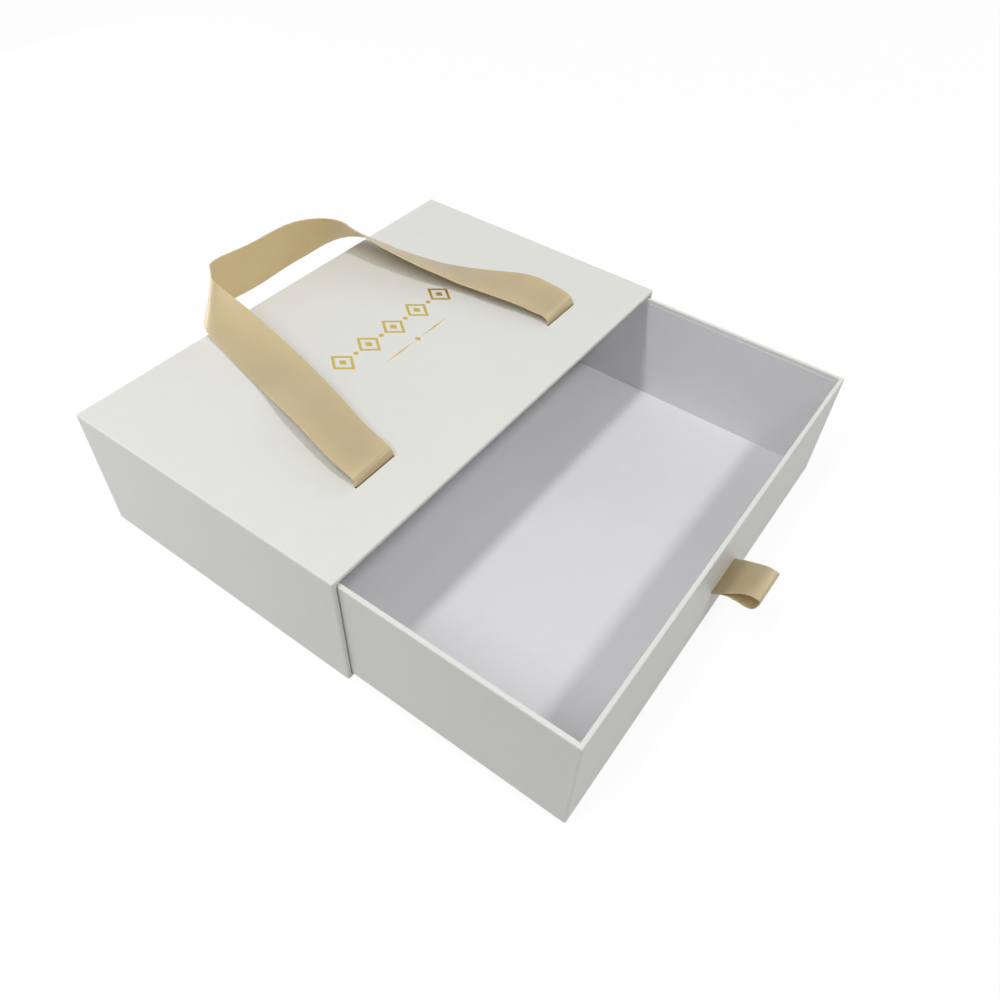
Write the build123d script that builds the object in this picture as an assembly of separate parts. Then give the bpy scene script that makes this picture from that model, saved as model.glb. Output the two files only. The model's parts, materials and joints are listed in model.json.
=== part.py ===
from build123d import *
import math
import os

# A rigid drawer box of greyboard covered with white paper: a sleeve open at the front, a tray
# that slides out of it, a satin ribbon handle through two slits in the sleeve's top, and a small
# loop of the same ribbon to pull the drawer by.
# Millimetres. X runs across the box, the drawer opens towards -Y, Z is up, and the origin is the
# middle of the sleeve's base. The drawer stands open, as photographed.

# Sleeve
SLEEVE_WIDTH = 210.0
SLEEVE_DEPTH = 130.0
SLEEVE_HEIGHT = 58.0

# Board and paper
BOARD = 1.5
PAPER = 0.15
EDGE_RADIUS = 0.8
RIM_RADIUS = 0.25
TURN_IN = 15.0
LINER_DROP = 2.0
SHEET_INSET = 3.0
STAY_LEG = 12.0
STAY_MARGIN = 5.0

# Drawer
DRAWER_OPEN = 92.5
SIDE_PLAY = 0.3
TOP_PLAY = 1.2
RUNNING_PLAY = 0.2
REAR_PLAY = 0.6

# Ribbon and the slits that it passes through
RIBBON_WIDTH = 20.0
RIBBON_THICKNESS = 0.5
SLIT_PLAY = 0.3
ROOT_GAP = 0.15
SLIT_SETBACK = 22.7
SLIT_SPACING = 121.0
SLIT_SHIFT = 1.5
HANDLE_TAIL = 26.0
PULL_SHIFT = 3.0
PULL_DROP = 4.0
PULL_TAIL = 16.0
PULL_TAIL_ROOM = 4.275

# The handle's run from the left slit to the right one: share of the way across, distance behind
# the slits, height above the hinge line, and roll in degrees. The legs leave the slits flat, roll
# onto their outer edge as they go back, and meet in a bend that stands on edge behind the sleeve.
HANDLE_RUN = [
    (0.000, 0.0, 0.0, 0),
    (0.000, 0.2, 1.3, 0),
    (0.000, 1.0, 2.6, 0),
    (0.000, 2.6, 3.7, 0),
    (0.001, 5.4, 4.5, 0),
    (0.006, 9.8, 4.9, 0),
    (0.020, 17.5, 5.4, -2),
    (0.060, 36.0, 6.4, 4),
    (0.118, 61.5, 5.0, 23),
    (0.158, 88.0, 7.4, 44),
    (0.185, 108.0, 10.8, 64),
    (0.244, 115.0, 10.4, 83),
    (0.305, 118.5, 10.0, 95),
    (0.442, 116.5, 10.6, 92),
    (0.638, 112.0, 13.6, 83),
    (0.783, 98.5, 15.7, 46),
    (0.847, 78.5, 9.9, 32),
    (0.894, 61.5, 6.0, 23),
    (0.929, 48.0, 4.7, 13),
    (0.956, 36.0, 4.9, 4),
    (0.976, 25.5, 5.4, -4),
    (0.988, 16.5, 5.4, -7),
    (0.996, 9.8, 4.4, -6),
    (0.999, 5.6, 4.0, -4),
    (1.000, 2.6, 3.3, -2),
    (1.000, 1.0, 2.3, 0),
    (1.000, 0.2, 1.2, 0),
    (1.000, 0.0, 0.0, 0),
]
STEPS_BETWEEN = 4
# The stations of the run where the left leg goes over into the bend, and the bend into the right leg
HANDLE_BEND = (9, 16)

# The pull's run from its upper layer round to its lower one: distance out from the root, height
# above it, and lean in degrees, which lifts the loop's left edge. The upper layer rises to a hump,
# turns over in a round nose and comes back under itself.
PULL_RUN = [
    (0.0, 0.25, 0),
    (3.0, 2.1, 2),
    (6.0, 3.9, 6),
    (9.5, 5.9, 10),
    (13.0, 6.8, 11),
    (16.4, 6.1, 11),
    (15.1, 2.6, 4),
    (12.5, 1.8, 2),
    (9.0, 1.7, 4),
    (5.0, 1.5, 5),
    (2.5, 0.7, 4),
    (0.0, -0.25, 0),
]

# Worked-out sizes
WALL = BOARD + 2 * PAPER
MOUTH_Y = -SLEEVE_DEPTH / 2
SLIT_Y = MOUTH_Y + SLIT_SETBACK
SLIT_LEFT_X = SLIT_SHIFT - SLIT_SPACING / 2
SLIT_RIGHT_X = SLIT_SHIFT + SLIT_SPACING / 2
HANDLE_AXIS_Z = SLEEVE_HEIGHT + ROOT_GAP + RIBBON_THICKNESS / 2
SLEEVE = (
    (-SLEEVE_WIDTH / 2, SLEEVE_WIDTH / 2),
    (MOUTH_Y, SLEEVE_DEPTH / 2),
    (PAPER, SLEEVE_HEIGHT),
)
DRAWER_HALF = SLEEVE_WIDTH / 2 - WALL - SIDE_PLAY
DRAWER_FRONT_Y = MOUTH_Y - DRAWER_OPEN
DRAWER_DEPTH = SLEEVE_DEPTH - WALL - REAR_PLAY
DRAWER = (
    (-DRAWER_HALF, DRAWER_HALF),
    (DRAWER_FRONT_Y, DRAWER_FRONT_Y + DRAWER_DEPTH),
    (SLEEVE[2][0] + WALL + RUNNING_PLAY, SLEEVE[2][1] - WALL - TOP_PLAY),
)
PULL_Z = (DRAWER[2][0] + DRAWER[2][1]) / 2 - PULL_DROP
PULL_AXIS_Y = DRAWER_FRONT_Y - ROOT_GAP - RIBBON_THICKNESS
BOARD_BEVEL = (EDGE_RADIUS - PAPER) * (2 - math.sqrt(2))
THROUGH = 5.0


def grow(extent, margin):
    """Three ranges, each widened by a margin at both ends."""
    return tuple((low - margin, high + margin) for low, high in extent)


def block(x_range, y_range, z_range):
    """A box between three pairs of coordinates."""
    ranges = (x_range, y_range, z_range)
    sizes = [high - low for low, high in ranges]
    middles = [(high + low) / 2 for low, high in ranges]
    return Pos(*middles) * Box(*sizes)


def rounded_block(extent, radius):
    """A box with all its edges rounded, as paper rounds a board's edge."""
    solid = block(*extent)
    return fillet(solid.edges(), radius)


def bevelled_block(extent):
    """A box with its edges broken just enough to lie under the paper's rounded edges."""
    solid = block(*extent)
    return chamfer(solid.edges(), BOARD_BEVEL)


def slit_hole(x, y_range, z_range):
    """The hole of one ribbon slit, a little larger than the ribbon across its width."""
    half = RIBBON_WIDTH / 2 + SLIT_PLAY
    return block((x - half, x + half), y_range, z_range)


def strip(profile, x):
    """A flat profile in the YZ plane made as wide as the ribbon, evenly about a place across."""
    return Pos(x, 0, 0) * extrude(profile, RIBBON_WIDTH / 2, both=True)


# Sleeve layers, from outside in: paper, board, lining paper
SLEEVE_CORE = grow(SLEEVE, -PAPER)
SLEEVE_BOARD_INSIDE = (
    (SLEEVE[0][0] + PAPER + BOARD, SLEEVE[0][1] - PAPER - BOARD),
    (MOUTH_Y + PAPER, SLEEVE[1][1] - PAPER - BOARD),
    (SLEEVE[2][0] + PAPER + BOARD, SLEEVE[2][1] - PAPER - BOARD),
)
SLEEVE_INSIDE = (
    (SLEEVE_BOARD_INSIDE[0][0] + PAPER, SLEEVE_BOARD_INSIDE[0][1] - PAPER),
    (MOUTH_Y - THROUGH, SLEEVE_BOARD_INSIDE[1][1] - PAPER),
    (SLEEVE_BOARD_INSIDE[2][0] + PAPER, SLEEVE_BOARD_INSIDE[2][1] - PAPER),
)
SLEEVE_TURN_IN_Y = MOUTH_Y + PAPER + TURN_IN


def handle_slits(z_range):
    """Both handle slits, cut between two heights."""
    half = RIBBON_THICKNESS / 2 + SLIT_PLAY
    y_range = (SLIT_Y - half, SLIT_Y + half)
    return slit_hole(SLIT_LEFT_X, y_range, z_range) + slit_hole(SLIT_RIGHT_X, y_range, z_range)


def sleeve_boards():
    """The five boards of the sleeve, butted: the top and base boards lie over the others' ends."""
    core = bevelled_block(SLEEVE_CORE)
    (x0, x1), (y0, y1), (z0, z1) = SLEEVE_CORE
    (in_x0, in_x1), (in_y0, in_y1), (in_z0, in_z1) = SLEEVE_BOARD_INSIDE
    boards = {
        "sleeve_base_board": block((x0, x1), (y0, y1), (z0, in_z0)),
        "sleeve_left_board": block((x0, in_x0), (y0, y1), (in_z0, in_z1)),
        "sleeve_right_board": block((in_x1, x1), (y0, y1), (in_z0, in_z1)),
        "sleeve_back_board": block((in_x0, in_x1), (in_y1, y1), (in_z0, in_z1)),
    }
    boards = {name: core & board for name, board in boards.items()}
    top = core & block((x0, x1), (y0, y1), (in_z1, z1))
    top -= handle_slits((in_z1 - THROUGH, z1 + THROUGH))
    for x in (SLIT_LEFT_X, SLIT_RIGHT_X):
        bed_y = (SLIT_Y, SLIT_Y + HANDLE_TAIL + SLIT_PLAY)
        top -= slit_hole(x, bed_y, (in_z1, in_z1 + RIBBON_THICKNESS))
    boards["sleeve_top_board"] = top
    return boards


def sleeve_wrap():
    """Covering paper of the sleeve: all round the outside and turned in at the mouth."""
    outer = rounded_block(SLEEVE, EDGE_RADIUS)
    wrap = outer - bevelled_block(SLEEVE_CORE)
    wrap -= block(*SLEEVE_INSIDE)
    turn_y = (MOUTH_Y + PAPER, SLEEVE_TURN_IN_Y)
    wrap += block(SLEEVE_BOARD_INSIDE[0], turn_y, SLEEVE_BOARD_INSIDE[2]) - block(*SLEEVE_INSIDE)
    rim = wrap.edges().filter_by_position(Axis.Y, MOUTH_Y - PAPER / 4, MOUTH_Y + PAPER / 4)
    inner_rim = [edge for edge in rim if abs(edge.center().X) < SLEEVE_INSIDE[0][1] + PAPER / 4
                 and abs(edge.center().Z - SLEEVE_HEIGHT / 2) < SLEEVE_HEIGHT / 2 - BOARD]
    wrap = fillet(inner_rim, RIM_RADIUS)
    return wrap - handle_slits((SLEEVE_HEIGHT - BOARD, SLEEVE_HEIGHT + THROUGH))


def sleeve_base_sheet():
    """The sheet glued over the base, which hides the wrap's seam and is what the box rests on."""
    flat = [(low + SHEET_INSET, high - SHEET_INSET) for low, high in SLEEVE[:2]]
    return block(*flat, (0.0, SLEEVE[2][0]))


def sleeve_liner():
    """Lining paper inside the sleeve, from the turned-in edge to the back."""
    x_range, y_range, z_range = SLEEVE_BOARD_INSIDE
    solid = block(x_range, (SLEEVE_TURN_IN_Y, y_range[1]), z_range)
    return solid - block(*SLEEVE_INSIDE)


def handle_tail(x):
    """One end of the handle: down through its slit and glued back along the board's underside."""
    under = SLEEVE_BOARD_INSIDE[2][1]
    half = RIBBON_THICKNESS / 2
    outline = Polyline(
        (SLIT_Y - half, SLEEVE_HEIGHT),
        (SLIT_Y - half, under),
        (SLIT_Y + HANDLE_TAIL, under),
        (SLIT_Y + HANDLE_TAIL, under + RIBBON_THICKNESS),
        (SLIT_Y + half, under + RIBBON_THICKNESS),
        (SLIT_Y + half, SLEEVE_HEIGHT),
        close=True,
    )
    return strip(Plane.YZ * make_face(outline), x)


# Drawer layers, from outside in: paper, board, the paper turned in over the rim, lining paper
DRAWER_CORE = grow(DRAWER, -PAPER)
DRAWER_BOARD_INSIDE = (
    (DRAWER_CORE[0][0] + BOARD, DRAWER_CORE[0][1] - BOARD),
    (DRAWER_CORE[1][0] + BOARD, DRAWER_CORE[1][1] - BOARD),
    (DRAWER_CORE[2][0] + BOARD, DRAWER_CORE[2][1]),
)
DRAWER_RIM_INSIDE = (
    (DRAWER_BOARD_INSIDE[0][0] + PAPER, DRAWER_BOARD_INSIDE[0][1] - PAPER),
    (DRAWER_BOARD_INSIDE[1][0] + PAPER, DRAWER_BOARD_INSIDE[1][1] - PAPER),
    (DRAWER_BOARD_INSIDE[2][0] + PAPER, DRAWER[2][1] + THROUGH),
)
DRAWER_INSIDE = (
    (DRAWER_RIM_INSIDE[0][0] + PAPER, DRAWER_RIM_INSIDE[0][1] - PAPER),
    (DRAWER_RIM_INSIDE[1][0] + PAPER, DRAWER_RIM_INSIDE[1][1] - PAPER),
    DRAWER_RIM_INSIDE[2],
)
DRAWER_TURN_IN_Z = DRAWER[2][1] - PAPER - TURN_IN


def pull_slit(y_range):
    """The slit in the drawer's front that both layers of the pull pass through."""
    half = RIBBON_THICKNESS + SLIT_PLAY
    return slit_hole(PULL_SHIFT, y_range, (PULL_Z - half, PULL_Z + half))


def corner_stays():
    """Paper tape round the four upright corners, sunk flush in the board."""
    core = bevelled_block(DRAWER_CORE)
    tape = core - bevelled_block(grow(DRAWER_CORE, -PAPER))
    (x0, x1), (y0, y1), (z0, z1) = DRAWER_CORE
    z_range = (z0 + STAY_MARGIN, z1 - STAY_MARGIN)
    columns = {"left": (x0, x0 + STAY_LEG), "right": (x1 - STAY_LEG, x1)}
    rows = {"front": (y0, y0 + STAY_LEG), "back": (y1 - STAY_LEG, y1)}
    return {
        f"drawer_corner_stay_{row}_{column}": tape & block(columns[column], rows[row], z_range)
        for row in rows
        for column in columns
    }


def pull_tail_end(side):
    """The height where a tail of the pull ends: the upper one by its length, the lower one (side -1)
    with room left above the base board."""
    if side < 0:
        return DRAWER_BOARD_INSIDE[2][0] + PULL_TAIL_ROOM
    return PULL_Z + RIBBON_THICKNESS + PULL_TAIL


def drawer_boards(stays):
    """The five boards of the tray: walls stand on the base, front and back between the sides."""
    core = bevelled_block(DRAWER_CORE)
    (x0, x1), (y0, y1), (z0, z1) = DRAWER_CORE
    (in_x0, in_x1), (in_y0, in_y1), (in_z0, in_z1) = DRAWER_BOARD_INSIDE
    front = block((in_x0, in_x1), (y0, in_y0), (in_z0, z1))
    front -= pull_slit((y0 - THROUGH, in_y0 + THROUGH))
    bed_y = (in_y0 - RIBBON_THICKNESS, in_y0)
    bed_z = (pull_tail_end(-1) - SLIT_PLAY, pull_tail_end(1) + SLIT_PLAY)
    front -= slit_hole(PULL_SHIFT, bed_y, bed_z)
    boards = {
        "drawer_base_board": block((x0, x1), (y0, y1), (z0, in_z0)),
        "drawer_front_board": front,
        "drawer_back_board": block((in_x0, in_x1), (in_y1, y1), (in_z0, z1)),
        "drawer_left_board": block((x0, in_x0), (y0, y1), (in_z0, z1)),
        "drawer_right_board": block((in_x1, x1), (y0, y1), (in_z0, z1)),
    }
    for name, board in boards.items():
        board = core & board
        for stay in stays.values():
            board -= stay
        boards[name] = board
    return boards


def turned_in_rim():
    """The band of covering paper that is folded over the rim and glued inside the walls."""
    z_range = (DRAWER_TURN_IN_Z, DRAWER_CORE[2][1])
    return block(*DRAWER_BOARD_INSIDE[:2], z_range) - block(*DRAWER_RIM_INSIDE)


def drawer_wrap():
    """Covering paper of the tray: base, walls, over the rim and turned in."""
    outer = rounded_block(DRAWER, EDGE_RADIUS)
    wrap = outer - bevelled_block(DRAWER_CORE)
    wrap -= block(*DRAWER_RIM_INSIDE)
    wrap += turned_in_rim()
    top = wrap.edges().filter_by_position(Axis.Z, DRAWER[2][1] - PAPER / 4, DRAWER[2][1] + PAPER / 4)
    middle_y = (DRAWER[1][0] + DRAWER[1][1]) / 2
    inner_rim = [edge for edge in top if abs(edge.center().X) < DRAWER_RIM_INSIDE[0][1] + PAPER / 4
                 and abs(edge.center().Y - middle_y) < DRAWER_DEPTH / 2 - BOARD]
    wrap = fillet(inner_rim, RIM_RADIUS)
    return wrap - pull_slit((DRAWER_FRONT_Y - THROUGH, DRAWER_FRONT_Y + BOARD))


def drawer_wall_liner():
    """Lining paper round the inside of the walls, over the turned-in edge to just below the rim."""
    z_range = (DRAWER_INSIDE[2][0], DRAWER[2][1] - LINER_DROP)
    lining = block(*DRAWER_BOARD_INSIDE[:2], z_range) - block(*DRAWER_INSIDE)
    return lining - turned_in_rim()


def drawer_base_liner():
    """Lining paper over the tray's floor."""
    return block(*DRAWER_BOARD_INSIDE[:2], (DRAWER_BOARD_INSIDE[2][0], DRAWER_INSIDE[2][0]))


def pull_tail(side):
    """One end of the pull, through the front and glued up (side 1) or down (side -1) inside it."""
    inside = DRAWER_BOARD_INSIDE[1][0]
    end = pull_tail_end(side)
    outline = Polyline(
        (DRAWER_FRONT_Y, PULL_Z),
        (inside, PULL_Z),
        (inside, end),
        (inside - RIBBON_THICKNESS, end),
        (inside - RIBBON_THICKNESS, PULL_Z + side * RIBBON_THICKNESS),
        (DRAWER_FRONT_Y, PULL_Z + side * RIBBON_THICKNESS),
        close=True,
    )
    return strip(Plane.YZ * make_face(outline), PULL_SHIFT)


def between(first, second, third, fourth, part):
    """The value a part of the way from second to third, on a smooth curve through all four."""
    bend = 2 * first - 5 * second + 4 * third - fourth
    twist = 3 * (second - third) + fourth - first
    return second + part / 2 * (third - first + part * (bend + part * twist))


def smooth_run(run):
    """The stations of a run with STEPS_BETWEEN steps from each to the next."""
    padded = [run[0], *run, run[-1]]
    stations = []
    for index in range(len(run) - 1):
        around = padded[index:index + 4]
        for step in range(STEPS_BETWEEN):
            part = step / STEPS_BETWEEN
            stations.append(tuple(between(*values, part) for values in zip(*around)))
    return [*stations, run[-1]]


def ribbon_section(place, along, width_way):
    """The ribbon's cut end at one place of its run, with its width along the given way."""
    square_to_width = along - width_way * along.dot(width_way)
    plane = Plane(origin=place, x_dir=width_way, z_dir=square_to_width)
    return plane * Rectangle(RIBBON_WIDTH, RIBBON_THICKNESS)


def rolled_section(before, place, after, roll):
    """A section of the handle, level across its run and then rolled about it."""
    along = (after - before).normalized()
    level = along.cross(Vector(0, 0, 1)).normalized()
    return ribbon_section(place, along, level.rotate(Axis((0, 0, 0), along), -roll))


def ribbon_root(end, start):
    """The handle's first short stretch out of a slit: a flat strip with a round end on the hinge."""
    length = (start - end).length
    side_view = Pos(length / 2, 0) * Rectangle(length, RIBBON_THICKNESS) + Circle(RIBBON_THICKNESS / 2)
    plane = Plane(origin=end, x_dir=start - end, z_dir=(1, 0, 0))
    return extrude(plane * side_view, RIBBON_WIDTH / 2, both=True)


def handle_ribbon():
    """The handle's legs and bend, lofted along its run, with a round root on the hinge at each slit."""
    stations = smooth_run(HANDLE_RUN)
    places = [
        Vector(SLIT_LEFT_X + share * SLIT_SPACING, SLIT_Y + back, HANDLE_AXIS_Z + up)
        for share, back, up, roll in stations
    ]
    sections = [rolled_section(places[0], places[1], places[1], 0)]
    for index in range(2, len(places) - 2):
        roll = stations[index][-1]
        sections.append(rolled_section(places[index - 1], places[index], places[index + 1], roll))
    sections.append(rolled_section(places[-2], places[-2], places[-1], 0))
    start, stop = (station * STEPS_BETWEEN - 1 for station in HANDLE_BEND)
    stretches = [sections[:start + 1], sections[start:stop + 1], sections[stop:]]
    left, bend, right = (loft(stretch, ruled=True) for stretch in stretches)
    loop = left + bend + right
    return loop + ribbon_root(places[0], places[1]) + ribbon_root(places[-1], places[-2])


def pull_ribbon():
    """The pull's loop, lofted along its run; its two ends lie one over the other on the hinge."""
    stations = smooth_run(PULL_RUN)
    places = [Vector(PULL_SHIFT, PULL_AXIS_Y - out, PULL_Z + up) for out, up, lean in stations]
    ahead = [*places[1:], places[-1]]
    behind = [places[0], *places[:-1]]
    sections = []
    for place, before, after, (out, up, lean) in zip(places, behind, ahead, stations):
        width_way = Vector(1, 0, 0).rotate(Axis.Y, lean)
        sections.append(ribbon_section(place, (after - before).normalized(), width_way))
    return loft(sections, ruled=True)


def main():
    stays = corner_stays()
    nodes = {
        **sleeve_boards(),
        "sleeve_wrap": sleeve_wrap(),
        "sleeve_base_sheet": sleeve_base_sheet(),
        "sleeve_liner": sleeve_liner(),
        "handle_tail_left": handle_tail(SLIT_LEFT_X),
        "handle_tail_right": handle_tail(SLIT_RIGHT_X),
        **drawer_boards(stays),
        **stays,
        "drawer_wrap": drawer_wrap(),
        "drawer_wall_liner": drawer_wall_liner(),
        "drawer_base_liner": drawer_base_liner(),
        "pull_tail_upper": pull_tail(1),
        "pull_tail_lower": pull_tail(-1),
        "handle_ribbon": handle_ribbon(),
        "pull_ribbon": pull_ribbon(),
    }
    os.makedirs("parts", exist_ok=True)
    for name, solid in nodes.items():
        export_step(solid, f"parts/{name}.step")


if __name__ == "__main__":
    main()
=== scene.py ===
"""Dresses a white paper drawer box: covering papers, satin ribbons, a foil ornament and a stage."""
import json
import math

import bmesh
import bpy
from bpy.props import FloatProperty, FloatVectorProperty, IntProperty, PointerProperty
from bpy.types import Operator, Panel, PropertyGroup
from mathutils import Matrix, Vector


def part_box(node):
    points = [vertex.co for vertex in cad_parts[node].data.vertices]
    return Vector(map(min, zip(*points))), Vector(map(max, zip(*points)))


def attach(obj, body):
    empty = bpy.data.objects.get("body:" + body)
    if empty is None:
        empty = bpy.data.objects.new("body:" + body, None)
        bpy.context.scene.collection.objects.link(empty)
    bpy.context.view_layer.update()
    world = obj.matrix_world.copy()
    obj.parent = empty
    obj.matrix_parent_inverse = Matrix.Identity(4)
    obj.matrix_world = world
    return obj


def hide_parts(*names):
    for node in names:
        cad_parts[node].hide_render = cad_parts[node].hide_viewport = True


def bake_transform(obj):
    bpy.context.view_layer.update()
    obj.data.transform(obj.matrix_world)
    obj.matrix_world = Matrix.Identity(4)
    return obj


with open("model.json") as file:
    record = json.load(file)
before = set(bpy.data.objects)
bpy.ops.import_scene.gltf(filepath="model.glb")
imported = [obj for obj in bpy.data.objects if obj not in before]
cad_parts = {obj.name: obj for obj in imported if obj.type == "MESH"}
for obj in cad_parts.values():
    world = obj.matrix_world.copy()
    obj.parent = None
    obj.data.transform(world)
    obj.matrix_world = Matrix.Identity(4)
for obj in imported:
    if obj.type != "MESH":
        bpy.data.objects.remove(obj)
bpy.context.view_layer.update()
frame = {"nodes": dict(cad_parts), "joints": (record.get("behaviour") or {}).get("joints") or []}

bl_info = {
    "name": "Ribbon drawer box",
    "version": (1, 0, 0),
    "blender": (4, 5, 0),
    "location": "View3D > Sidebar > Drawer box",
    "description": "Papers, satin ribbons, foil ornament and studio stage of a paper drawer box",
    "category": "Object",
}

MM = 0.001
UP = Vector((0, 0, 1))
ACROSS = Vector((1, 0, 0))

# The nodes that each paper covers, and the board and tape under them
COVERED = ("sleeve_wrap", "sleeve_base_sheet", "drawer_wrap")
LINED = ("sleeve_liner", "drawer_wall_liner", "drawer_base_liner")
BOARDS = tuple(name for name in frame["nodes"] if name.endswith("_board"))
TAPED = tuple(name for name in frame["nodes"] if "corner_stay" in name)

# Places taken from the frame: hinge lines, and the ribbon's size from its glued ends
JOINTS = {joint["name"]: joint for joint in frame["joints"]}
HANDLE_AXIS = Vector(JOINTS["handle_swing"]["pos_m"])
PULL_AXIS = Vector(JOINTS["pull_swing"]["pos_m"])
SLEEVE_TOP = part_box("sleeve_wrap")[1].z
LEFT_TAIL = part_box("handle_tail_left")
RIGHT_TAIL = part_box("handle_tail_right")
UPPER_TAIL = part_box("pull_tail_upper")
LOWER_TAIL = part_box("pull_tail_lower")
LEFT_SLIT_X = (LEFT_TAIL[0].x + LEFT_TAIL[1].x) / 2
RIGHT_SLIT_X = (RIGHT_TAIL[0].x + RIGHT_TAIL[1].x) / 2

# The handle from the left slit to the right one: share of the way across, millimetres behind the
# slits, millimetres above the hinge line, and roll in degrees. The legs leave the slits flat, roll
# onto their outer edge and meet in a bend that stands on edge behind the sleeve. The run starts and
# ends inside the slits.
HANDLE_RUN = (
    (0.000, 0.0, -0.7, 0),
    (0.000, 0.2, 1.3, 0),
    (0.000, 1.0, 2.6, 0),
    (0.000, 2.6, 3.7, 0),
    (0.001, 5.4, 4.5, 0),
    (0.006, 9.8, 4.9, 0),
    (0.020, 17.5, 5.4, -2),
    (0.060, 36.0, 6.4, 4),
    (0.118, 61.5, 5.0, 23),
    (0.158, 88.0, 7.4, 44),
    (0.185, 108.0, 10.8, 64),
    (0.244, 115.0, 10.4, 83),
    (0.305, 118.5, 10.0, 95),
    (0.442, 116.5, 10.6, 92),
    (0.675, 117.2, 9.6, 83),
    (0.853, 107.3, 8.7, 46),
    (0.887, 83.0, 5.9, 32),
    (0.912, 63.3, 4.2, 23),
    (0.947, 49.7, 2.9, 13),
    (0.966, 36.9, 3.9, 4),
    (0.976, 25.5, 5.4, -4),
    (0.988, 16.5, 5.4, -7),
    (0.996, 9.8, 4.4, -6),
    (0.999, 5.6, 4.0, -4),
    (1.000, 2.6, 3.3, -2),
    (1.000, 1.0, 2.3, 0),
    (1.000, 0.2, 1.2, 0),
    (1.000, 0.0, -0.7, 0),
)

# The pull from its upper layer round to its lower one: millimetres out from the hinge line and above
# it, and lean in degrees, which lifts its left edge. Both ends lie inside the slit.
PULL_RUN = (
    (-0.95, 0.25, 0),
    (0.0, 0.3, 0),
    (3.0, 2.1, 2),
    (6.0, 3.9, 6),
    (9.5, 5.9, 10),
    (13.0, 6.8, 11),
    (16.4, 6.1, 11),
    (15.1, 2.6, 4),
    (12.5, 1.8, 2),
    (9.0, 1.7, 4),
    (5.0, 1.5, 5),
    (2.5, 0.7, 4),
    (0.0, -0.25, 0),
    (-0.95, -0.25, 0),
)
SLIT_DEPTH = 0.3 * MM
# The turn of a glued end behind its slit: its size in ribbon thicknesses, and how far its middle lies
# from the corner as a share of that
TAIL_FOLD = 2
TAIL_FOLD_EASE = 0.3

# The foil ornament: lozenge frames with a stud in each and a bead between each two, and under them a
# rule of two slim leaves with a stud between. Each pair is a width and a height.
FRAMES_EACH_SIDE = 2
FRAME_PITCH = 15.5 * MM
FRAME_OUTSIDE = (11.0 * MM, 13.5 * MM)
FRAME_INSIDE = (8.0 * MM, 9.8 * MM)
FRAME_STUD = (3.4 * MM, 4.2 * MM)
BEAD_DIAMETER = 2.2 * MM
RULE_DROP = 13.5 * MM
RULE_LEAF = (18.0 * MM, 0.8 * MM)
LEAF_OFFSET = 11.0 * MM
RULE_STUD = (2.6 * MM, 3.4 * MM)

# How each paper and board scatters light, from the laminated cover to the raw board
COVER_ROUGHNESS = 0.45
LINING_ROUGHNESS = 0.7
TAPE_ROUGHNESS = 0.65
BOARD_ROUGHNESS = 0.85
ROUGHNESS_SPREAD = 0.06
PAPER_IOR = 1.45
# The range that most of a noise texture lies in, and the tone that its low end gives to paper
NOISE_LOW = 0.3
NOISE_HIGH = 0.7
PAPER_TONE = 0.985
# Uneven patches in the weave, the grain of the pressed foil, and the depth of all fine relief
SLUB_LENGTH = 12.0 * MM
FOIL_GRAIN = 0.8 * MM
RELIEF = 0.05 * MM
# Share of the glow's depth that red, green and blue light reach in the ribbon
WARM_GLOW = (1.0, 0.9, 0.7)
# The wave texture's bands turn through this many radians in one unit of scaled distance
WAVE_RADIANS = 20
# The Mix node's colour sockets, whose names its other kinds share
MIX_FIRST = 6
MIX_SECOND = 7
MIX_RESULT = 2

# The lamps in metres: where each hangs, what it faces, and the sides of its face. The key lamp is a
# long tube over the box's left, so its shadows are crisp along the box and soft across it. The back
# lamp stands below the level of the sleeve's top and shines through the handle's bend.
BOX_MIDDLE = (0.0, -0.04, 0.03)
HANDLE_TOP = (0.0, 0.07, 0.07)
PULL_MIDDLE = (0.0, -0.17, 0.03)
LAMPS = {
    "key_lamp": ((-0.90, 0.12, 1.5), (-0.90, 0.12, 0.0), (1.20, 0.15)),
    "front_lamp": ((-0.10, -1.10, 2.0), BOX_MIDDLE, (0.22, 0.22)),
    "back_lamp": ((0.0, 0.55, 0.03), HANDLE_TOP, (0.40, 0.04)),
    "left_lamp": ((-0.33, 0.20, 0.10), BOX_MIDDLE, (0.15, 0.15)),
    "right_lamp": ((1.40, -0.40, 0.70), PULL_MIDDLE, (0.50, 0.50)),
}
FLOOR_DROP = 0.2 * MM
FLOOR_REACH = 6.0
WHITE = (1.0, 1.0, 1.0, 1.0)
# The camera's sensor in millimetres, and the nearest thing that it sees in metres
SENSOR_WIDTH = 36.0
NEAREST_SEEN = 0.01


def linear(hex_colour):
    """An sRGB hex colour as linear red, green and blue."""
    channels = [int(hex_colour[index:index + 2], 16) / 255 for index in (1, 3, 5)]
    return tuple(c / 12.92 if c <= 0.04045 else ((c + 0.055) / 1.055) ** 2.4 for c in channels)


def opaque(colour):
    """A colour with full alpha, as colour sockets take it."""
    return (*colour[:3], 1.0)


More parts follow.
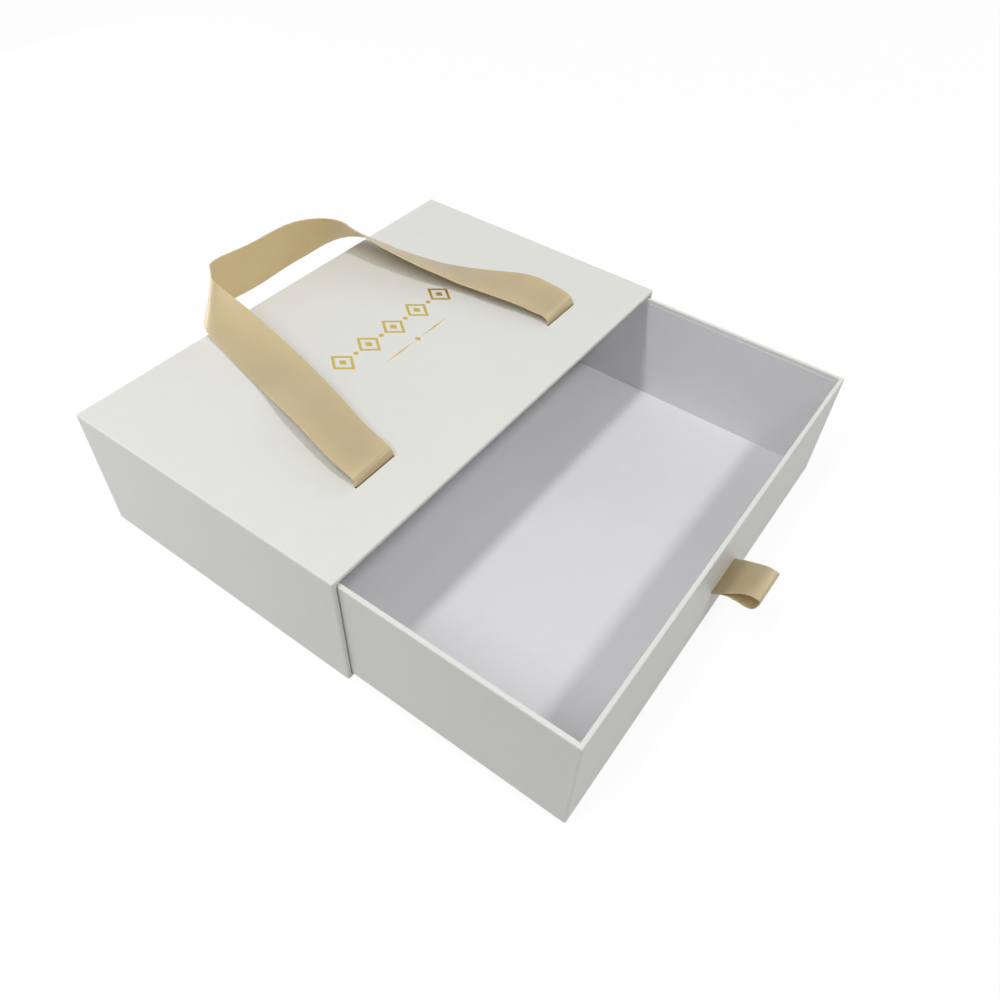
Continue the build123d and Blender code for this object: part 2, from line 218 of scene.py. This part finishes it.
class PaperSettings(PropertyGroup):
    cover: FloatVectorProperty(
        name="Cover", description="Matt laminated covering paper",
        subtype="COLOR", size=3, min=0, max=1, default=linear("#e2e2dd"))
    lining: FloatVectorProperty(
        name="Lining", description="Uncoated lining paper, a little cooler than the cover",
        subtype="COLOR", size=3, min=0, max=1, default=linear("#dfdfe1"))
    board: FloatVectorProperty(
        name="Board", description="Recycled greyboard under the paper",
        subtype="COLOR", size=3, min=0, max=1, default=linear("#a8a49c"))
    tape: FloatVectorProperty(
        name="Corner tape", description="Gummed kraft tape on the drawer's corners",
        subtype="COLOR", size=3, min=0, max=1, default=linear("#b8976a"))
    fibre: FloatProperty(
        name="Fibre", description="Length of a paper fibre clump, drawn coarse enough to show",
        unit="LENGTH", default=0.6 * MM)
    cloud: FloatProperty(
        name="Cloud", description="Width of the pale and dark clouds in the paper's formation",
        unit="LENGTH", default=9 * MM)


class RibbonSettings(PropertyGroup):
    width: FloatProperty(
        name="Width", description="Width of the satin ribbon",
        unit="LENGTH", default=LEFT_TAIL[1].x - LEFT_TAIL[0].x)
    thickness: FloatProperty(
        name="Thickness", description="Thickness of the ribbon, a little less than its solid's",
        unit="LENGTH", default=0.4 * MM)
    satin: FloatVectorProperty(
        name="Satin", description="Champagne satin",
        subtype="COLOR", size=3, min=0, max=1, default=linear("#c6b48f"))
    # Painted shade: a darker satin colour that stands for the shade in the grooves between the floats
    shade: FloatVectorProperty(
        name="Shade", description="Satin between the floating threads",
        subtype="COLOR", size=3, min=0, max=1, default=linear("#bba783"))
    thread: FloatProperty(
        name="Thread", description="Spacing of the lengthwise threads, drawn coarse enough to show",
        unit="LENGTH", default=0.45 * MM)
    glow: FloatProperty(
        name="Glow", description="How deep light spreads in the thin weave",
        unit="LENGTH", default=2.5 * MM)
    steps: IntProperty(
        name="Steps", description="Sections between two places of a run", default=8, min=2)
    columns: IntProperty(
        name="Columns", description="Faces across the ribbon", default=12, min=4)


class FoilSettings(PropertyGroup):
    gold: FloatVectorProperty(
        name="Gold", description="Hot-stamped gold foil",
        subtype="COLOR", size=3, min=0, max=1, default=linear("#c9b45a"))
    height: FloatProperty(
        name="Height", description="Height of the stamped foil above the paper",
        unit="LENGTH", default=0.03 * MM)
    centre: FloatVectorProperty(
        name="Centre", description="Middle of the ornament's main row on the sleeve's top",
        size=2, subtype="XYZ", unit="LENGTH", default=(10 * MM, 8.5 * MM))


class StageSettings(PropertyGroup):
    lens: FloatProperty(
        name="Lens", description="Focal length in millimetres on a 36 mm sensor", default=30.215)
    eye: FloatVectorProperty(
        name="Eye", description="Where the camera stands", subtype="XYZ", unit="LENGTH",
        default=(-206.7 * MM, -194.2 * MM, 273.3 * MM))
    target: FloatVectorProperty(
        name="Target", description="The place on the floor in the middle of the picture",
        subtype="XYZ", unit="LENGTH", default=(1.23 * MM, -56.38 * MM, 0.0))
    roll: FloatProperty(
        name="Roll", description="The camera's turn about its own line of sight",
        subtype="ANGLE", default=0.055)
    floor: FloatVectorProperty(
        name="Floor", description="The pale studio floor, as its light falls back on the box",
        subtype="COLOR", size=3, min=0, max=1, default=linear("#a8a8a6"))
    key_power: FloatProperty(
        name="Key", description="Power of the tube over the left, in watts", default=13.2)
    front_power: FloatProperty(
        name="Front", description="Power of the lamp in front, in watts", default=14.0)
    back_power: FloatProperty(
        name="Back", description="Power of the low lamp behind, in watts", default=1.0)
    left_power: FloatProperty(
        name="Left", description="Power of the low lamp on the left, in watts", default=0.15)
    right_power: FloatProperty(
        name="Right", description="Power of the lamp on the right, in watts", default=2.5)
    ambient: FloatProperty(
        name="Ambient", description="Strength of the even light all round", default=0.34)
    whiteness: FloatProperty(
        name="Whiteness", description="Share of the floor's look that no shadow darkens",
        subtype="FACTOR", min=0, max=1, default=0.92)


def add_node(tree, kind, inputs=None, **settings):
    """A new shader node with its settings; inputs maps a socket to a value or to an output."""
    node = tree.nodes.new(kind)
    for name, value in settings.items():
        setattr(node, name, value)
    for socket, value in (inputs or {}).items():
        if isinstance(value, bpy.types.NodeSocket):
            tree.links.new(value, node.inputs[socket])
        else:
            node.inputs[socket].default_value = value
    return node


def new_material(name):
    """An empty node material."""
    material = bpy.data.materials.new(name)
    material.use_nodes = True
    material.node_tree.nodes.clear()
    return material


def assign(piece, material):
    """Gives a piece one material."""
    piece.data.materials.clear()
    piece.data.materials.append(material)


def paper_material(name, colour, roughness, settings):
    """Pressed fibre, as paper or board: faint clouds in the sheet, and fibres that break the gleam."""
    material = new_material(name)
    tree = material.node_tree
    place = add_node(tree, "ShaderNodeTexCoord").outputs["Object"]
    cloud = add_node(tree, "ShaderNodeTexNoise", {
        "Vector": place, "Scale": 1 / settings.cloud, "Detail": 3.0, "Roughness": 0.55})
    # Real fibres are finer; these are drawn coarse enough to show
    fibre = add_node(tree, "ShaderNodeTexNoise", {
        "Vector": place, "Scale": 1 / settings.fibre, "Detail": 4.0, "Roughness": 0.7})
    toning = {"From Min": NOISE_LOW, "From Max": NOISE_HIGH, "To Min": PAPER_TONE, "To Max": 1.0}
    tone = add_node(tree, "ShaderNodeMapRange", {"Value": cloud.outputs["Fac"], **toning})
    speck = add_node(tree, "ShaderNodeMapRange", {"Value": fibre.outputs["Fac"], **toning})
    both = add_node(tree, "ShaderNodeMath", {
        0: tone.outputs["Result"], 1: speck.outputs["Result"]}, operation="MULTIPLY")
    tinted = add_node(tree, "ShaderNodeVectorMath", {
        0: colour[:3], "Scale": both.outputs["Value"]}, operation="SCALE")
    gloss = add_node(tree, "ShaderNodeMapRange", {
        "Value": fibre.outputs["Fac"],
        "To Min": roughness - ROUGHNESS_SPREAD, "To Max": roughness + ROUGHNESS_SPREAD})
    bump = add_node(tree, "ShaderNodeBump", {
        "Height": fibre.outputs["Fac"], "Strength": 0.06, "Distance": RELIEF})
    shader = add_node(tree, "ShaderNodeBsdfPrincipled", {
        "Base Color": tinted.outputs["Vector"], "Roughness": gloss.outputs["Result"],
        "Normal": bump.outputs["Normal"], "IOR": PAPER_IOR})
    add_node(tree, "ShaderNodeOutputMaterial", {"Surface": shader.outputs["BSDF"]})
    return material


def satin_material(settings):
    """Satin-woven polyester ribbon: thin enough for light to pass, with a gleam across its length.

    Its long floating threads mirror what is round them in their own colour, which a part of metal
    stands in for.
    """
    material = new_material("satin_woven_polyester")
    tree = material.node_tree
    across = add_node(tree, "ShaderNodeUVMap", uv_map="ribbon").outputs["UV"]
    # Real threads are finer; these are drawn coarse enough to show
    threads = add_node(tree, "ShaderNodeTexWave", {
        "Vector": across, "Scale": 2 * math.pi / (WAVE_RADIANS * settings.thread),
        "Distortion": 0.6, "Detail": 1.0}, wave_type="BANDS", bands_direction="X")
    slub = add_node(tree, "ShaderNodeTexNoise", {
        "Vector": across, "Scale": 1 / SLUB_LENGTH, "Detail": 3.0})
    # Painted shade in the grooves between the floating threads, made uneven by the slubs' own random
    # tone
    mixing = add_node(tree, "ShaderNodeMath", {
        0: threads.outputs["Fac"], 1: slub.outputs["Fac"]}, operation="MULTIPLY")
    colour = add_node(tree, "ShaderNodeMix", {
        "Factor": mixing.outputs["Value"], MIX_FIRST: opaque(settings.shade),
        MIX_SECOND: opaque(settings.satin)}, data_type="RGBA")
    bump = add_node(tree, "ShaderNodeBump", {
        "Height": threads.outputs["Fac"], "Strength": 0.1, "Distance": RELIEF})
    tangent = add_node(tree, "ShaderNodeTangent", direction_type="UV_MAP", uv_map="ribbon")
    shader = add_node(tree, "ShaderNodeBsdfPrincipled", {
        "Base Color": colour.outputs[MIX_RESULT],
        "Metallic": 0.2, "Roughness": 0.42, "Anisotropic": 0.6,
        "Subsurface Weight": 1.0, "Subsurface Scale": settings.glow, "Subsurface Radius": WARM_GLOW,
        "Sheen Weight": 0.25, "Sheen Roughness": 0.4, "Tangent": tangent.outputs["Tangent"],
        "Normal": bump.outputs["Normal"]})
    add_node(tree, "ShaderNodeOutputMaterial", {"Surface": shader.outputs["BSDF"]})
    return material


def foil_material(settings):
    """Hot-stamped foil: a thin metal film pressed into paper, so its mirror is slightly broken."""
    material = new_material("hot_stamped_gold_foil")
    tree = material.node_tree
    place = add_node(tree, "ShaderNodeTexCoord").outputs["Object"]
    grain = add_node(tree, "ShaderNodeTexNoise", {
        "Vector": place, "Scale": 1 / FOIL_GRAIN, "Detail": 3.0})
    gloss = add_node(tree, "ShaderNodeMapRange", {
        "Value": grain.outputs["Fac"], "To Min": 0.35, "To Max": 0.55})
    bump = add_node(tree, "ShaderNodeBump", {
        "Height": grain.outputs["Fac"], "Strength": 0.2, "Distance": RELIEF})
    shader = add_node(tree, "ShaderNodeBsdfPrincipled", {
        "Base Color": opaque(settings.gold), "Metallic": 1.0,
        "Roughness": gloss.outputs["Result"], "Normal": bump.outputs["Normal"]})
    add_node(tree, "ShaderNodeOutputMaterial", {"Surface": shader.outputs["BSDF"]})
    return material


def smooth_value(before, first, second, after, part):
    """The value a part of the way from first to second, on a smooth curve through all four."""
    bend = 2 * before - 5 * first + 4 * second - after
    twist = 3 * (first - second) + after - before
    return first + part / 2 * (second - before + part * (bend + part * twist))


def smooth_run(run, steps):
    """The places of a run with more of them between each two."""
    padded = [run[0], *run, run[-1]]
    rows = []
    for index in range(len(run) - 1):
        around = padded[index:index + 4]
        for step in range(steps):
            rows.append([smooth_value(*values, step / steps) for values in zip(*around)])
    return [*rows, list(run[-1])]


def heading(places, index):
    """The way that a run goes at one of its places."""
    before = places[max(index - 1, 0)]
    after = places[min(index + 1, len(places) - 1)]
    return (after - before).normalized()


def mesh_object(name, bm):
    """A new object in the scene from a finished bmesh, which is freed."""
    mesh = bpy.data.meshes.new(name)
    bm.to_mesh(mesh)
    bm.free()
    made = bpy.data.objects.new(name, mesh)
    bpy.context.scene.collection.objects.link(made)
    return made


def ribbon_piece(name, places, width_ways, settings):
    """A flat ribbon along places, each with the way that the ribbon's width runs there."""
    half = settings.width / 2
    shares = [-1 + 2 * column / settings.columns for column in range(settings.columns + 1)]
    outline = [(share, 1) for share in shares] + [(share, -1) for share in reversed(shares)]
    bm = bmesh.new()
    uv = bm.loops.layers.uv.new("ribbon")
    rows = []
    lengths = [0.0]
    for index, (place, width_way) in enumerate(zip(places, width_ways)):
        lift = heading(places, index).cross(width_way).normalized() * settings.thickness / 2
        rows.append([bm.verts.new(place + width_way * share * half + lift * side)
                     for share, side in outline])
        if index:
            lengths.append(lengths[-1] + (place - places[index - 1]).length)
    around = len(outline)
    for index in range(len(rows) - 1):
        for column in range(around):
            on = (column + 1) % around
            face = bm.faces.new((rows[index][column], rows[index][on],
                                 rows[index + 1][on], rows[index + 1][column]))
            face.smooth = True
            spots = ((column, index), (on, index), (on, index + 1), (column, index + 1))
            for loop, (spot, station) in zip(face.loops, spots):
                loop[uv].uv = (outline[spot][0] * half, lengths[station])
        for column in (0, settings.columns, settings.columns + 1, around - 1):
            bm.edges.get((rows[index][column], rows[index + 1][column])).smooth = False
    bm.faces.new(list(reversed(rows[0])))
    bm.faces.new(rows[-1])
    bmesh.ops.recalc_face_normals(bm, faces=bm.faces)
    return mesh_object(name, bm), lengths[-1]


def ribbon_satin():
    """The satin shared by all the ribbon pieces."""
    made = bpy.data.materials.get("satin_woven_polyester")
    return made or satin_material(bpy.context.scene.box_ribbon)


class BOX_OT_cover_paper(Operator):
    """Covers the sleeve, the drawer and the base with white paper"""
    bl_idname = "box.cover_paper"
    bl_label = "Covering paper"

    def execute(self, context):
        settings = context.scene.box_paper
        # Matt film over art paper: an even white with a faint, wide gleam
        material = paper_material("matt_laminated_art_paper", settings.cover, COVER_ROUGHNESS, settings)
        for name in COVERED:
            assign(frame["nodes"][name], material)
        return {"FINISHED"}


class BOX_OT_lining_paper(Operator):
    """Lines the sleeve and the drawer with paper"""
    bl_idname = "box.lining_paper"
    bl_label = "Lining paper"

    def execute(self, context):
        settings = context.scene.box_paper
        # Uncoated paper: chalky, with no gleam to speak of
        material = paper_material("uncoated_lining_paper", settings.lining, LINING_ROUGHNESS, settings)
        for name in LINED:
            assign(frame["nodes"][name], material)
        return {"FINISHED"}


class BOX_OT_boards(Operator):
    """Gives the boards and the corner tape under the paper their raw finish"""
    bl_idname = "box.boards"
    bl_label = "Boards and corner tape"

    def execute(self, context):
        settings = context.scene.box_paper
        # Pressed waste paper, dull and grey, and brown kraft paper with a slight polish
        board = paper_material("recycled_greyboard", settings.board, BOARD_ROUGHNESS, settings)
        tape = paper_material("gummed_kraft_tape", settings.tape, TAPE_ROUGHNESS, settings)
        for name in BOARDS:
            assign(frame["nodes"][name], board)
        for name in TAPED:
            assign(frame["nodes"][name], tape)
        return {"FINISHED"}


class BOX_OT_handle_ribbon(Operator):
    """Makes the handle's loop of satin ribbon, which bends where it leaves its slits"""
    bl_idname = "box.handle_ribbon"
    bl_label = "Handle ribbon"

    def execute(self, context):
        settings = context.scene.box_ribbon
        rows = smooth_run(HANDLE_RUN, settings.steps)
        across = RIGHT_SLIT_X - LEFT_SLIT_X
        places = [
            Vector((LEFT_SLIT_X + share * across, HANDLE_AXIS.y + back * MM, HANDLE_AXIS.z + up * MM))
            for share, back, up, roll in rows
        ]
        width_ways = []
        for index, (share, back, up, roll) in enumerate(rows):
            along = heading(places, index)
            level = along.cross(UP).normalized()
            width_ways.append(Matrix.Rotation(math.radians(-roll), 3, along) @ level)
        piece, length = ribbon_piece("handle_ribbon_satin", places, width_ways, settings)
        assign(piece, ribbon_satin())
        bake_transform(piece)
        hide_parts("handle_ribbon")
        return {"FINISHED"}


class BOX_OT_pull_ribbon(Operator):
    """Makes the drawer's pull, a loop of satin ribbon folded over on itself"""
    bl_idname = "box.pull_ribbon"
    bl_label = "Pull ribbon"

    def execute(self, context):
        settings = context.scene.box_ribbon
        rows = smooth_run(PULL_RUN, settings.steps)
        places = [
            Vector((PULL_AXIS.x, PULL_AXIS.y - out * MM, PULL_AXIS.z + up * MM))
            for out, up, lean in rows
        ]
        width_ways = [
            Matrix.Rotation(math.radians(lean), 3, "Y") @ ACROSS for out, up, lean in rows
        ]
        piece, length = ribbon_piece("pull_ribbon_satin", places, width_ways, settings)
        assign(piece, ribbon_satin())
        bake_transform(piece)
        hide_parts("pull_ribbon")
        return {"FINISHED"}


class BOX_OT_ribbon_tails(Operator):
    """Makes the ribbon ends that pass through the slits and are glued inside the board"""
    bl_idname = "box.ribbon_tails"
    bl_label = "Ribbon ends"

    def execute(self, context):
        settings = context.scene.box_ribbon
        half = settings.thickness / 2
        handle_tails = (("handle_tail_left", LEFT_TAIL), ("handle_tail_right", RIGHT_TAIL))
        for node, (low, high) in handle_tails:
            x = (low.x + high.x) / 2
            corner = Vector((x, HANDLE_AXIS.y, low.z + half))
            top = Vector((x, HANDLE_AXIS.y, high.z - SLIT_DEPTH))
            self.make_tail(settings, node, "sleeve", top, corner, Vector((x, high.y, low.z + half)))
        pull_tails = (("pull_tail_upper", UPPER_TAIL, 1), ("pull_tail_lower", LOWER_TAIL, -1))
        for node, (low, high), side in pull_tails:
            x = PULL_AXIS.x
            inside = high.y - half
            level = PULL_AXIS.z + side * half
            mouth = Vector((x, low.y + SLIT_DEPTH, level))
            end = Vector((x, inside, high.z if side > 0 else low.z))
            self.make_tail(settings, node, "drawer", mouth, Vector((x, inside, level)), end)
        return {"FINISHED"}

    def make_tail(self, settings, node, body, start, corner, end):
        """One glued end: a short ribbon with a folded corner."""
        fold = TAIL_FOLD * settings.thickness
        back = (start - corner).normalized() * fold
        on = (end - corner).normalized() * fold
        turn = corner + (back + on) * TAIL_FOLD_EASE
        places = [start, corner + back, turn, corner + on, end]
        width_ways = [ACROSS] * len(places)
        piece, length = ribbon_piece(node + "_satin", places, width_ways, settings)
        assign(piece, ribbon_satin())
        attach(piece, body)
        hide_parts(node)


def prism(bm, outlines, base, top):
    """Flat shapes of the same number of corners, outer then inner, raised from base to top."""
    rings = [
        [bm.verts.new((x, y, z)) for x, y in outline] for outline in outlines for z in (base, top)
    ]
    count = len(outlines[0])
    if len(outlines) == 1:
        low, high = rings
        bm.faces.new(list(reversed(low)))
        bm.faces.new(high)
        loops = [(low, high)]
    else:
        low, high, inner_low, inner_high = rings
        loops = [(low, high), (high, inner_high), (inner_high, inner_low), (inner_low, low)]
    for first, second in loops:
        for index in range(count):
            on = (index + 1) % count
            bm.faces.new((first[index], first[on], second[on], second[index]))


def lozenge(x, y, width, height):
    """The four corners of an upright lozenge."""
    return [(x + width / 2, y), (x, y + height / 2), (x - width / 2, y), (x, y - height / 2)]


def disc(x, y, diameter, corners=28):
    """The outline of a round bead."""
    turns = [2 * math.pi * index / corners for index in range(corners)]
    return [(x + diameter / 2 * math.cos(turn), y + diameter / 2 * math.sin(turn)) for turn in turns]


class BOX_OT_foil_ornament(Operator):
    """Stamps a border of lozenges and beads, and a fine rule, in gold foil on the sleeve's top"""
    bl_idname = "box.foil_ornament"
    bl_label = "Foil ornament"

    def execute(self, context):
        settings = context.scene.box_foil
        x0, y0 = settings.centre
        pressed_in = settings.height / 3
        base = SLEEVE_TOP - pressed_in
        top = SLEEVE_TOP + settings.height
        bm = bmesh.new()
        for index in range(-FRAMES_EACH_SIDE, FRAMES_EACH_SIDE + 1):
            x = x0 + index * FRAME_PITCH
            outer = lozenge(x, y0, *FRAME_OUTSIDE)
            inner = lozenge(x, y0, *FRAME_INSIDE)
            prism(bm, [outer, inner], base, top)
            prism(bm, [lozenge(x, y0, *FRAME_STUD)], base, top)
            if index < FRAMES_EACH_SIDE:
                prism(bm, [disc(x + FRAME_PITCH / 2, y0, BEAD_DIAMETER)], base, top)
        rule_y = y0 - RULE_DROP
        for offset in (-LEAF_OFFSET, LEAF_OFFSET):
            prism(bm, [lozenge(x0 + offset, rule_y, *RULE_LEAF)], base, top)
        prism(bm, [lozenge(x0, rule_y, *RULE_STUD)], base, top)
        bmesh.ops.recalc_face_normals(bm, faces=bm.faces)
        piece = mesh_object("foil_ornament", bm)
        assign(piece, foil_material(settings))
        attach(piece, "sleeve")
        return {"FINISHED"}


def seen_directly(tree):
    """One for what the eye sees itself, in a mirror or through glass, and nought for other light."""
    path = add_node(tree, "ShaderNodeLightPath")
    mirrored = add_node(tree, "ShaderNodeMath", {
        0: path.outputs["Is Camera Ray"], 1: path.outputs["Is Glossy Ray"]}, operation="MAXIMUM")
    seen = add_node(tree, "ShaderNodeMath", {
        0: mirrored.outputs["Value"], 1: path.outputs["Is Transmission Ray"]}, operation="MAXIMUM")
    return seen.outputs["Value"]


class BOX_OT_stage(Operator):
    """Sets the pale floor, the soft lamps, the even light and the camera"""
    bl_idname = "box.stage"
    bl_label = "Stage"

    def execute(self, context):
        settings = context.scene.box_stage
        context.scene.view_settings.view_transform = "Standard"
        self.make_floor(settings)
        self.make_world(context, settings)
        self.make_lamp(context, "key_lamp", settings.key_power)
        self.make_lamp(context, "front_lamp", settings.front_power)
        self.make_lamp(context, "back_lamp", settings.back_power)
        self.make_lamp(context, "left_lamp", settings.left_power)
        self.make_lamp(context, "right_lamp", settings.right_power)
        self.make_camera(context, settings)
        return {"FINISHED"}

    def make_floor(self, settings):
        """A wide floor that is white to the eye and still takes the box's shadow."""
        bm = bmesh.new()
        bmesh.ops.create_grid(bm, x_segments=1, y_segments=1, size=FLOOR_REACH)
        floor = mesh_object("studio_floor", bm)
        floor.location.z = -FLOOR_DROP
        material = new_material("white_studio_sweep")
        tree = material.node_tree
        seen = seen_directly(tree)
        share = add_node(tree, "ShaderNodeMath", {
            0: seen, 1: settings.whiteness}, operation="MULTIPLY")
        colour = add_node(tree, "ShaderNodeMix", {
            "Factor": seen, MIX_FIRST: opaque(settings.floor), MIX_SECOND: WHITE}, data_type="RGBA")
        lit = add_node(tree, "ShaderNodeBsdfDiffuse", {"Color": colour.outputs[MIX_RESULT]})
        white = add_node(tree, "ShaderNodeEmission", {"Color": WHITE, "Strength": 1.0})
        mixed = add_node(tree, "ShaderNodeMixShader", {
            0: share.outputs["Value"], 1: lit.outputs["BSDF"], 2: white.outputs["Emission"]})
        add_node(tree, "ShaderNodeOutputMaterial", {"Surface": mixed.outputs["Shader"]})
        assign(floor, material)

    def make_world(self, context, settings):
        """Even light, which the eye and reflections see as white."""
        world = bpy.data.worlds.new("studio_light")
        context.scene.world = world
        world.use_nodes = True
        tree = world.node_tree
        tree.nodes.clear()
        even = add_node(tree, "ShaderNodeBackground", {"Color": WHITE, "Strength": settings.ambient})
        white = add_node(tree, "ShaderNodeBackground", {"Color": WHITE, "Strength": 1.0})
        mixed = add_node(tree, "ShaderNodeMixShader", {
            0: seen_directly(tree), 1: even.outputs["Background"], 2: white.outputs["Background"]})
        add_node(tree, "ShaderNodeOutputWorld", {"Surface": mixed.outputs["Shader"]})

    def make_lamp(self, context, name, power):
        """A soft lamp with a rectangular face, which the eye doesn't see."""
        place, target, sides = LAMPS[name]
        data = bpy.data.lights.new(name, "AREA")
        data.energy = power
        data.shape = "RECTANGLE"
        data.size, data.size_y = sides
        lamp = bpy.data.objects.new(name, data)
        lamp.location = place
        lamp.visible_camera = False
        aim = Vector(target) - Vector(place)
        lamp.rotation_euler = aim.to_track_quat("-Z", "Y").to_euler()
        context.scene.collection.objects.link(lamp)

    def make_camera(self, context, settings):
        """The photograph's point of view."""
        data = bpy.data.cameras.new("camera")
        data.lens = settings.lens
        data.sensor_width = SENSOR_WIDTH
        data.clip_start = NEAREST_SEEN
        camera = bpy.data.objects.new("camera", data)
        eye = Vector(settings.eye)
        forward = (Vector(settings.target) - eye).normalized()
        level = forward.cross(UP).normalized()
        right = Matrix.Rotation(-settings.roll, 3, forward) @ level
        up = right.cross(forward)
        turn = Matrix((right, up, -forward)).transposed()
        camera.matrix_world = Matrix.Translation(eye) @ turn.to_4x4()
        context.scene.collection.objects.link(camera)
        context.scene.camera = camera


STEPS = (
    BOX_OT_cover_paper,
    BOX_OT_lining_paper,
    BOX_OT_boards,
    BOX_OT_handle_ribbon,
    BOX_OT_pull_ribbon,
    BOX_OT_ribbon_tails,
    BOX_OT_foil_ornament,
    BOX_OT_stage,
)


class BOX_PT_panel(Panel):
    """Lists the steps and their settings"""
    bl_idname = "BOX_PT_panel"
    bl_label = "Drawer box"
    bl_space_type = "VIEW_3D"
    bl_region_type = "UI"
    bl_category = "Drawer box"

    def draw(self, context):
        layout = self.layout
        for step in STEPS:
            layout.operator(step.bl_idname)
        for name, group in SETTINGS.items():
            box = layout.box()
            for field in group.__annotations__:
                box.prop(getattr(context.scene, name), field)


SETTINGS = {
    "box_paper": PaperSettings,
    "box_ribbon": RibbonSettings,
    "box_foil": FoilSettings,
    "box_stage": StageSettings,
}


def register():
    for group in SETTINGS.values():
        bpy.utils.register_class(group)
    for step in STEPS:
        bpy.utils.register_class(step)
    bpy.utils.register_class(BOX_PT_panel)
    for name, group in SETTINGS.items():
        setattr(bpy.types.Scene, name, PointerProperty(type=group))


def unregister():
    for name in SETTINGS:
        delattr(bpy.types.Scene, name)
    for made in (BOX_PT_panel, *reversed(STEPS), *SETTINGS.values()):
        bpy.utils.unregister_class(made)


def main():
    register()
    bpy.ops.box.cover_paper()
    bpy.ops.box.lining_paper()
    bpy.ops.box.boards()
    bpy.ops.box.handle_ribbon()
    bpy.ops.box.pull_ribbon()
    bpy.ops.box.ribbon_tails()
    bpy.ops.box.foil_ornament()
    bpy.ops.box.stage()


if __name__ == "__main__":
    main()
